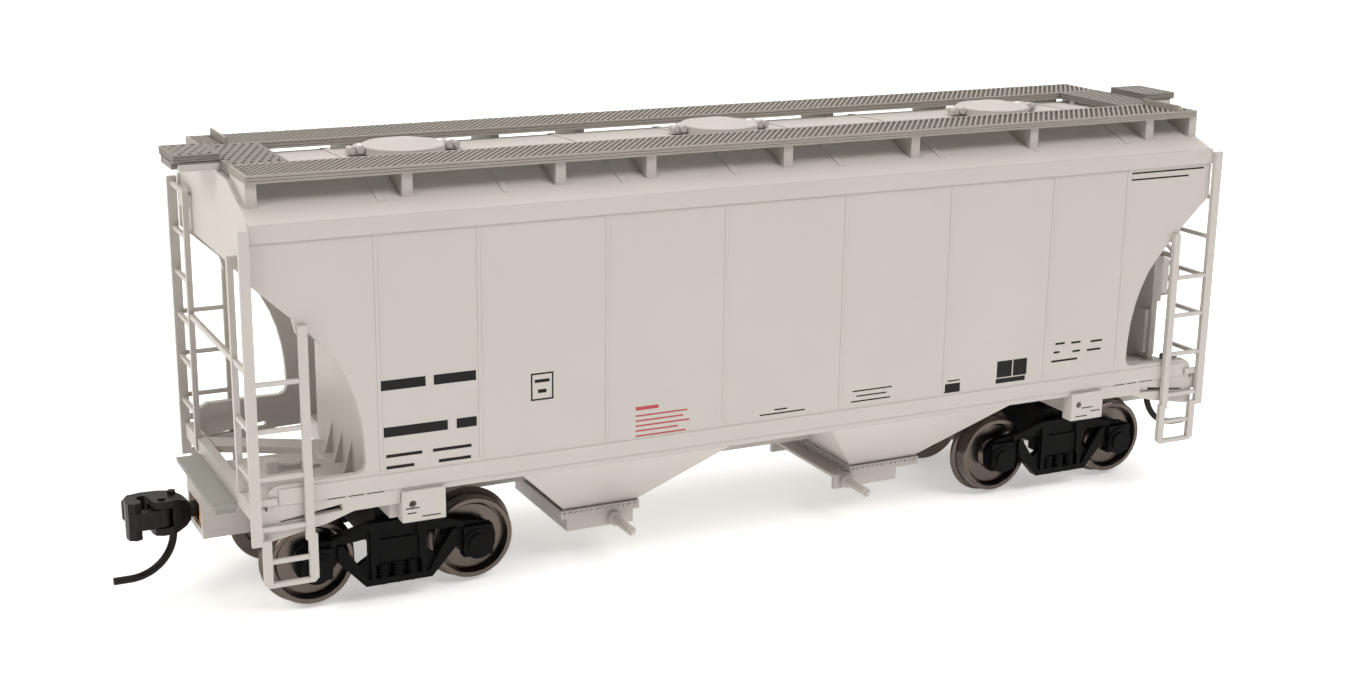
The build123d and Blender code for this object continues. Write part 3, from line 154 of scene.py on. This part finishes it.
looks = {
    "body_grey": moulded("body_grey", (0.50, 0.468, 0.438), (0.485, 0.452, 0.422),
                         (0.515, 0.484, 0.455), 0.46, (0.60, 0.57, 0.54), grain=0.006, spec=0.3),
    "walk_grey": moulded("walk_grey", (0.325, 0.295, 0.262), (0.30, 0.272, 0.24), (0.35, 0.32, 0.286), 0.55,
                         (0.50, 0.465, 0.425), grain=0.008, spec=0.35),
    "platform_grey": moulded("platform_grey", (0.34, 0.33, 0.30), (0.32, 0.31, 0.28), (0.36, 0.35, 0.32), 0.6,
                             (0.44, 0.43, 0.40), grain=0.01, spec=0.3),
    "truck_black": moulded("truck_black", (0.003, 0.003, 0.003), (0.002, 0.002, 0.002),
                           (0.005, 0.0046, 0.0043), 0.45, (0.020, 0.019, 0.018), grain=0.008, spec=0.085),
    "wheel_metal": moulded("wheel_metal", (0.115, 0.094, 0.082), (0.085, 0.070, 0.060),
                           (0.145, 0.120, 0.105), 0.24, (0.30, 0.255, 0.225), grain=0.002, metallic=0.9),
    "axle_steel": moulded("axle_steel", (0.14, 0.11, 0.09), (0.10, 0.08, 0.06), (0.18, 0.14, 0.11), 0.4,
                          (0.30, 0.25, 0.2), grain=0.004, metallic=0.8),
    "coupler_black": moulded("coupler_black", (0.012, 0.0095, 0.008), (0.008, 0.0065, 0.0055),
                             (0.018, 0.015, 0.013), 0.36, (0.036, 0.030, 0.026), grain=0.012,
                             grain_scale=5000, spec=0.15),
    "spring_bronze": moulded("spring_bronze", (0.55, 0.24, 0.10), (0.42, 0.17, 0.07), (0.65, 0.32, 0.15), 0.3,
                             (0.75, 0.45, 0.25), grain=0.004, metallic=0.9),
    "screw_steel": moulded("screw_steel", (0.06, 0.058, 0.055), (0.04, 0.04, 0.04), (0.09, 0.085, 0.08), 0.35,
                           (0.2, 0.19, 0.18), grain=0.004, metallic=0.8),
    "ballast_steel": moulded("ballast_steel", (0.35, 0.34, 0.33), (0.28, 0.27, 0.26), (0.4, 0.39, 0.38), 0.4,
                             (0.5, 0.5, 0.5), grain=0.006, metallic=0.9),
}
red_ink = moulded("marking_red", (0.42, 0.045, 0.05), (0.36, 0.035, 0.04), (0.48, 0.06, 0.065), 0.5,
                  (0.5, 0.12, 0.12), grain=0.004)
ink = moulded("marking_ink", (0.012, 0.011, 0.011), (0.009, 0.008, 0.008), (0.017, 0.016, 0.015), 0.55,
              (0.03, 0.028, 0.027), grain=0.004, spec=0.15)
end_walk_look = moulded("walk_grey_end", (0.225, 0.205, 0.183), (0.205, 0.186, 0.166),
                        (0.245, 0.224, 0.20), 0.58, (0.34, 0.315, 0.29), grain=0.008, spec=0.3)

slots = {row["node"]: row["material_slot"] for row in frame["record"]["subparts"]}
for name, node in frame["nodes"].items():
    node.data.materials.clear()
    node.data.materials.append(looks[slots[name]])


# ---------------------------------------------------------------- building helpers
def finish_piece(name, mesh_maker, material, body):
    mesh = bmesh.new()
    mesh_maker(mesh)
    data = bpy.data.meshes.new(name)
    mesh.to_mesh(data)
    mesh.free()
    data.materials.append(material)
    piece = bpy.data.objects.new(name, data)
    scene.collection.objects.link(piece)
    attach(piece, body)
    return piece


def add_box(mesh, lo, hi):
    """A closed box between two corners, in millimetres."""
    spots = [(x, y, z) for x in (lo[0], hi[0]) for y in (lo[1], hi[1]) for z in (lo[2], hi[2])]
    v = [mesh.verts.new([c * MM for c in spot]) for spot in spots]
    for face in ((0, 1, 3, 2), (4, 6, 7, 5), (0, 4, 5, 1), (2, 3, 7, 6), (0, 2, 6, 4), (1, 5, 7, 3)):
        mesh.faces.new([v[i] for i in face])


# ---------------------------------------------------------------- roof walk gratings
# all in millimetres
RIM_WIDTH = 0.42
PLATE_DEPTH = 0.5
GROOVE_DEPTH = 0.07
WALK_TOP = 54.2
CROSS_LOW = 53.25
CROSS_HALF = 7.1
CROSS_INNER = 59.8
CROSS_OUTER = 66.8
STEP_INNER = 66.82
STEP_NEAR = -3.6
STEP_FAR = 4.2
TOE_BOARD_X = 63.6
TOE_BOARD_HALF = 0.15


def rim(mesh, x0, x1, y0, y1, z_top, z_low, width):
    """The solid strip round a walk, with two fine grooves run along its outer faces."""
    lower_from, lower_to = z_low + 0.26, z_low + 0.36
    upper_from, upper_to = z_top - 0.32, z_top - 0.23
    levels = [
        (z_low, lower_from, 0.0),
        (lower_from, lower_to, GROOVE_DEPTH),
        (lower_to, upper_from, 0.0),
        (upper_from, upper_to, GROOVE_DEPTH),
        (upper_to, z_top, 0.0),
    ]
    for za, zb, inset in levels:
        a0, a1, b0, b1 = x0 + inset, x1 - inset, y0 + inset, y1 - inset
        add_box(mesh, (a0, b0, za), (a1, y0 + width, zb))
        add_box(mesh, (a0, y1 - width, za), (a1, b1, zb))
        add_box(mesh, (a0, y0 + width, za), (x0 + width, y1 - width, zb))
        add_box(mesh, (x1 - width, y0 + width, za), (a1, y1 - width, zb))


def perforated(mesh, x0, x1, y0, y1, z_top, z_low, pitch_x, pitch_y, bar_x, bar_y):
    """A plate with rows of slots along X, staggered from row to row, inside a solid rim."""
    edge = RIM_WIDTH
    smallest = 0.02
    columns = max(1, round((x1 - x0 - 2 * edge) / pitch_x))
    rows = max(1, round((y1 - y0 - 2 * edge) / pitch_y))
    px = (x1 - x0 - 2 * edge) / columns
    py = (y1 - y0 - 2 * edge) / rows
    low = z_top - PLATE_DEPTH
    rim(mesh, x0, x1, y0, y1, z_top, z_low, edge)
    for row in range(1, rows):
        yc = y0 + edge + row * py
        add_box(mesh, (x0 + edge, yc - bar_y / 2, low), (x1 - edge, yc + bar_y / 2, z_top))
    for row in range(rows):
        ya = y0 + edge + row * py + (bar_y / 2 if row else 0.0)
        yb = y0 + edge + (row + 1) * py - (bar_y / 2 if row < rows - 1 else 0.0)
        shift = 0.5 * px if row % 2 else 0.0
        for column in range(columns + 1):
            xc = x0 + edge + column * px + shift
            xa = max(xc - bar_x / 2, x0 + edge)
            xb = min(xc + bar_x / 2, x1 - edge)
            if xb - xa > smallest:
                add_box(mesh, (xa, ya, low), (xb, yb, z_top))


def slanted_bar(mesh, x_a, y_a, x_b, y_b, width, z0, z1):
    """A closed bar whose ends lie on two Y lines and whose run leans along X."""
    half = width / 2
    spots = [(x + dx, y, z) for x, y in ((x_a, y_a), (x_b, y_b)) for dx in (-half, half) for z in (z0, z1)]
    v = [mesh.verts.new([c * MM for c in spot]) for spot in spots]
    for face in ((0, 2, 3, 1), (4, 5, 7, 6), (0, 1, 5, 4), (2, 6, 7, 3), (0, 4, 6, 2), (1, 3, 7, 5)):
        mesh.faces.new([v[i] for i in face])


def grating(mesh, x0, x1, y0, y1, z_top, z_low):
    """The long walk: low bars along X crossed by leaning ridges, inside a solid rim."""
    edge = RIM_WIDTH
    rim_drop = 0.03
    bar_top = z_top - 0.3
    bar_low = z_top - 0.6
    shortest = 0.1
    pitch_x = 0.85
    lean = 0.75
    ridge_width = 0.30
    bar_y = 0.16
    rows = 12
    ya, yb = y0 + edge, y1 - edge
    xa, xb = x0 + edge + ridge_width / 2, x1 - edge - ridge_width / 2
    py = (yb - ya) / rows
    rim(mesh, x0, x1, y0, y1, z_top - rim_drop, z_low, edge)
    for row in range(1, rows):
        yc = ya + row * py
        add_box(mesh, (x0 + edge, yc - bar_y / 2, bar_low), (x1 - edge, yc + bar_y / 2, bar_top))
    run = lean * (yb - ya)
    count = int((xb - xa + run) / pitch_x)
    for index in range(count + 1):
        start = xa - run + index * pitch_x
        low_y = ya if start >= xa else ya + (xa - start) / lean
        high_y = yb if start + run <= xb else ya + (xb - start) / lean
        if high_y - low_y > shortest:
            slanted_bar(mesh, start + lean * (low_y - ya), low_y, start + lean * (high_y - ya), high_y,
                        ridge_width, z_top - PLATE_DEPTH, z_top)


def build_long_walk(side, sign):
    """One of the two walks along the car; its toe board stands at one end only."""
    node = f"roof_walk_{side}"
    lo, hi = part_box(node)
    a = [c / MM for c in lo]
    b = [c / MM for c in hi]
    toe_x = -sign * TOE_BOARD_X

    def make(mesh):
        grating(mesh, a[0], b[0], a[1], b[1], WALK_TOP, a[2])
        add_box(mesh, (toe_x - TOE_BOARD_HALF, a[1], WALK_TOP - 0.1), (toe_x + TOE_BOARD_HALF, b[1], b[2]))

    piece = finish_piece(f"walk_grating_{side}", make, looks["walk_grey"], "car_body")
    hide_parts(node)


def build_end_walk(end, sign):
    """The cross walk and the raised step outside it, with the step's two feet and its front lip."""
    node = f"roof_end_walk_{end}"
    lo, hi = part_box(node)
    reach = max(abs(lo[0]), abs(hi[0])) / MM
    step_top = hi[2] / MM
    lip_low = lo[2] / MM
    pitch_x = 1.05
    pitch_y = 1.25
    foot_inner = 66.3
    foot_depth = 0.25
    foot_width = 0.5
    lip_width = 0.55

    def make(mesh):
        inner, outer = sorted((sign * CROSS_INNER, sign * CROSS_OUTER))
        perforated(mesh, inner, outer, -CROSS_HALF, CROSS_HALF, WALK_TOP, CROSS_LOW,
                   pitch_x, pitch_y, 0.58, 0.42)
        sx0, sx1 = sorted((sign * STEP_INNER, sign * reach))
        perforated(mesh, sx0, sx1, STEP_NEAR, STEP_FAR, step_top, WALK_TOP - 0.1, pitch_x, pitch_y, 0.7, 0.6)
        bx0, bx1 = sorted((sign * foot_inner, sign * (reach - 0.6)))
        for y in (STEP_NEAR, STEP_FAR - 0.9):
            add_box(mesh, (bx0, y, WALK_TOP - foot_depth), (bx1, y + foot_width, WALK_TOP))
        lip0, lip1 = sorted((sign * (reach - lip_width), sign * reach))
        add_box(mesh, (lip0, STEP_NEAR + 1.0, lip_low), (lip1, STEP_FAR - 1.0, WALK_TOP))

    piece = finish_piece(f"end_walk_grating_{end}", make, end_walk_look, "car_body")
    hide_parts(node)


def build_walks():
    for side, sign in (("near", -1), ("far", 1)):
        build_long_walk(side, sign)
    for end, sign in (("left", -1), ("right", 1)):
        build_end_walk(end, sign)


build_walks()


# ---------------------------------------------------------------- generic markings
SIDE = 17.8
PAD_FACE = 18.4
PAINT_LIFT = 0.012
PAINT_SUNK = 0.01


def mark(mesh, x0, x1, z0, z1, side, face=SIDE):
    """A flat bar of paint on the side sheet or a pad; side is -1 near and +1 far."""
    xa, xb = sorted((-side * x0, -side * x1))
    ya, yb = sorted((side * (face - PAINT_SUNK), side * (face + PAINT_LIFT)))
    add_box(mesh, (xa, ya, z0), (xb, yb, z1))


def markings(mesh, side):
    # two heavy bars stand for the reporting marks and the number
    for x0, x1 in ((-53.0, -47.6), (-46.6, -41.4)):
        mark(mesh, x0, x1, 28.75, 29.95, side)
    for x0, x1 in ((-52.8, -45.0), (-43.9, -41.4)):
        mark(mesh, x0, x1, 23.1, 24.3, side)
    for x0, x1, z in ((-52.6, -48.2, 20.75), (-46.9, -42.1, 20.75), (-52.6, -49.2, 19.35),
                      (-46.2, -42.2, 19.35)):
        mark(mesh, x0, x1, z - 0.16, z + 0.22, side)
    # outlined panel
    for x0, x1, z0, z1 in ((-34.5, -31.6, 28.45, 28.65), (-34.5, -31.6, 25.25, 25.45),
                           (-34.5, -34.3, 25.45, 28.45), (-31.8, -31.6, 25.45, 28.45),
                           (-34.0, -32.1, 27.45, 27.85), (-33.6, -32.5, 26.15, 26.6)):
        mark(mesh, x0, x1, z0, z1, side)
    # two small groups of lines above the sill
    for x0, x1, z in ((-1.2, 0.7, 19.95), (-3.3, 3.3, 19.45)):
        mark(mesh, x0, x1, z - 0.09, z + 0.09, side)
    for x0, x1, z in ((10.4, 16.4, 20.95), (11.0, 15.6, 20.25), (10.2, 16.2, 19.55)):
        mark(mesh, x0, x1, z - 0.09, z + 0.09, side)
    # small patch with a line above it
    mark(mesh, 24.6, 27.2, 18.95, 20.2, side)
    mark(mesh, 25.2, 27.1, 20.5, 20.68, side)
    # dark two-panel stencil
    mark(mesh, 33.1, 35.55, 20.1, 22.4, side)
    mark(mesh, 35.75, 38.0, 20.1, 22.4, side)
    mark(mesh, 33.0, 37.8, 19.3, 19.95, side)
    # data lines
    for x0, x1, z in ((42.6, 44.2, 23.8), (45.3, 46.9, 23.7), (48.6, 50.6, 23.55), (42.4, 43.4, 22.6),
                      (45.6, 46.9, 22.45), (48.1, 50.4, 22.35), (42.1, 46.5, 21.35)):
        mark(mesh, x0, x1, z - 0.14, z + 0.14, side)
    for x0, x1, z in ((53.7, 66.2, 46.65), (53.7, 63.6, 45.75)):
        mark(mesh, x0, x1, z - 0.11, z + 0.11, side)
    # sill lines
    for x0, x1, z in ((-59.7, -57.6, 16.7), (-57.2, -55.4, 16.7), (-55.0, -53.0, 16.7), (53.3, 55.2, 16.7),
                      (55.6, 57.2, 16.7), (57.7, 60.0, 16.7)):
        mark(mesh, x0, x1, z - 0.16, z + 0.1, side)
    # fine lines on the jacking pads
    for x0, x1, z in ((-50.6, -48.9, 14.2), (-50.4, -49.3, 13.6), (-48.6, -46.3, 13.05), (47.4, 49.3, 14.2),
                      (49.0, 50.6, 13.6), (46.4, 48.4, 13.05)):
        mark(mesh, x0, x1, z - 0.07, z + 0.07, side, face=PAD_FACE)


def red_markings(mesh, side):
    mark(mesh, -20.7, -17.6, 22.3, 22.75, side)
    for x1, z in ((-13.6, 21.6), (-14.2, 20.95), (-13.3, 20.3), (-14.9, 19.65), (-13.8, 19.0)):
        mark(mesh, -20.7, x1, z - 0.1, z + 0.1, side)


for side_name, side in (("near", -1), ("far", 1)):
    finish_piece(f"markings_{side_name}", lambda mesh: markings(mesh, side), ink, "car_body")
    finish_piece(f"markings_red_{side_name}", lambda mesh: red_markings(mesh, side), red_ink, "car_body")


# ---------------------------------------------------------------- studio
# all in metres
FLOOR_HALF = 4.0
FLOOR_FRONT = -0.36
SWEEP_START = 1.1
SWEEP_RADIUS = 0.9
SWEEP_STEPS = 24
WALL_TOP = 5.0


def make_floor():
    """A level floor that sweeps up into a wall behind the car."""
    mesh = bmesh.new()
    rows = []
    profile = [(FLOOR_FRONT, 0.0), (SWEEP_START, 0.0)]
    for i in range(1, SWEEP_STEPS + 1):
        angle = math.pi / 2 * i / SWEEP_STEPS
        sweep_y = SWEEP_START + SWEEP_RADIUS * math.sin(angle)
        sweep_z = SWEEP_RADIUS - SWEEP_RADIUS * math.cos(angle)
        profile.append((sweep_y, sweep_z))
    profile.append((SWEEP_START + SWEEP_RADIUS, WALL_TOP))
    for y, z in profile:
        rows.append([mesh.verts.new((x, y, z)) for x in (-FLOOR_HALF, FLOOR_HALF)])
    for a, b in zip(rows, rows[1:]):
        mesh.faces.new((a[0], a[1], b[1], b[0]))
    data = bpy.data.meshes.new("floor")
    mesh.to_mesh(data)
    mesh.free()
    for polygon in data.polygons:
        polygon.use_smooth = True
    floor = bpy.data.objects.new("floor", data)
    scene.collection.objects.link(floor)
    material, tree, shader = new_material("floor_pale")
    coords = tree.nodes.new("ShaderNodeTexCoord").outputs["Object"]
    cloud = noise(tree, coords, 3.0, 2.0, 0.55)
    share = ramp(tree, cloud, 0.4, 0.6, 0.0, 1.0)
    colour = mix_colour(tree, share, (0.90, 0.895, 0.89), (0.91, 0.905, 0.90))
    tree.links.new(colour, shader.inputs["Base Color"])
    shader.inputs["Roughness"].default_value = 0.8
    shader.inputs["Specular IOR Level"].default_value = 0.2
    shader.inputs["Emission Color"].default_value = (1.0, 0.985, 0.97, 1.0)
    shader.inputs["Emission Strength"].default_value = 0.42
    floor.data.materials.append(material)


def area_light(name, location, target, width, height, power, colour):
    lamp = bpy.data.lights.new(name, "AREA")
    lamp.shape = "RECTANGLE"
    lamp.size = width
    lamp.size_y = height
    lamp.energy = power
    lamp.color = colour
    lamp_object = bpy.data.objects.new(name, lamp)
    scene.collection.objects.link(lamp_object)
    lamp_object.location = location
    direction = Vector(target) - Vector(location)
    lamp_object.rotation_mode = "QUATERNION"
    lamp_object.rotation_quaternion = direction.to_track_quat("-Z", "Y")


make_floor()
area_light("key", (0.50, -0.75, 1.0), (0, 0, 0.02), 0.9, 0.6, 11.2, (1.0, 0.992, 0.985))
area_light("top", (0.1, 0.25, 1.2), (0, 0, 0.0), 0.9, 0.8, 8.0, (1.0, 0.995, 0.985))
area_light("left", (-0.95, -0.25, 0.75), (0, 0, 0.03), 0.6, 0.6, 7.6, (1.0, 0.98, 0.92))

world = bpy.data.worlds.new("studio")
scene.world = world
world.use_nodes = True
background = world.node_tree.nodes["Background"]
background.inputs["Color"].default_value = (1.0, 0.995, 0.985, 1.0)
background.inputs["Strength"].default_value = 0.06

scene.view_settings.view_transform = "Standard"
scene.view_settings.look = "None"
scene.view_settings.exposure = 0.0


# ---------------------------------------------------------------- camera
def make_camera():
    azimuth = math.radians(-26.292)
    elevation = math.radians(15.191)
    roll = math.radians(0.696)
    look_at = Vector((-0.006643, 0.0, 0.025607))
    distance = 0.255211
    back = Vector((math.sin(azimuth) * math.cos(elevation), -math.cos(azimuth) * math.cos(elevation),
                   math.sin(elevation)))
    right = Vector((math.cos(azimuth), math.sin(azimuth), 0.0))
    up = back.cross(right)
    rolled_right = right * math.cos(roll) + up * math.sin(roll)
    rolled_up = up * math.cos(roll) - right * math.sin(roll)
    data = bpy.data.cameras.new("camera")
    data.sensor_width = 36.0
    data.lens = 50.9405
    data.clip_start = 0.01
    data.clip_end = 20.0
    camera = bpy.data.objects.new("camera", data)
    scene.collection.objects.link(camera)
    place = look_at + back * distance
    camera.matrix_world = Matrix((
        (rolled_right.x, rolled_up.x, back.x, place.x),
        (rolled_right.y, rolled_up.y, back.y, place.y),
        (rolled_right.z, rolled_up.z, back.z, place.z),
        (0.0, 0.0, 0.0, 1.0),
    ))
    scene.camera = camera


make_camera()
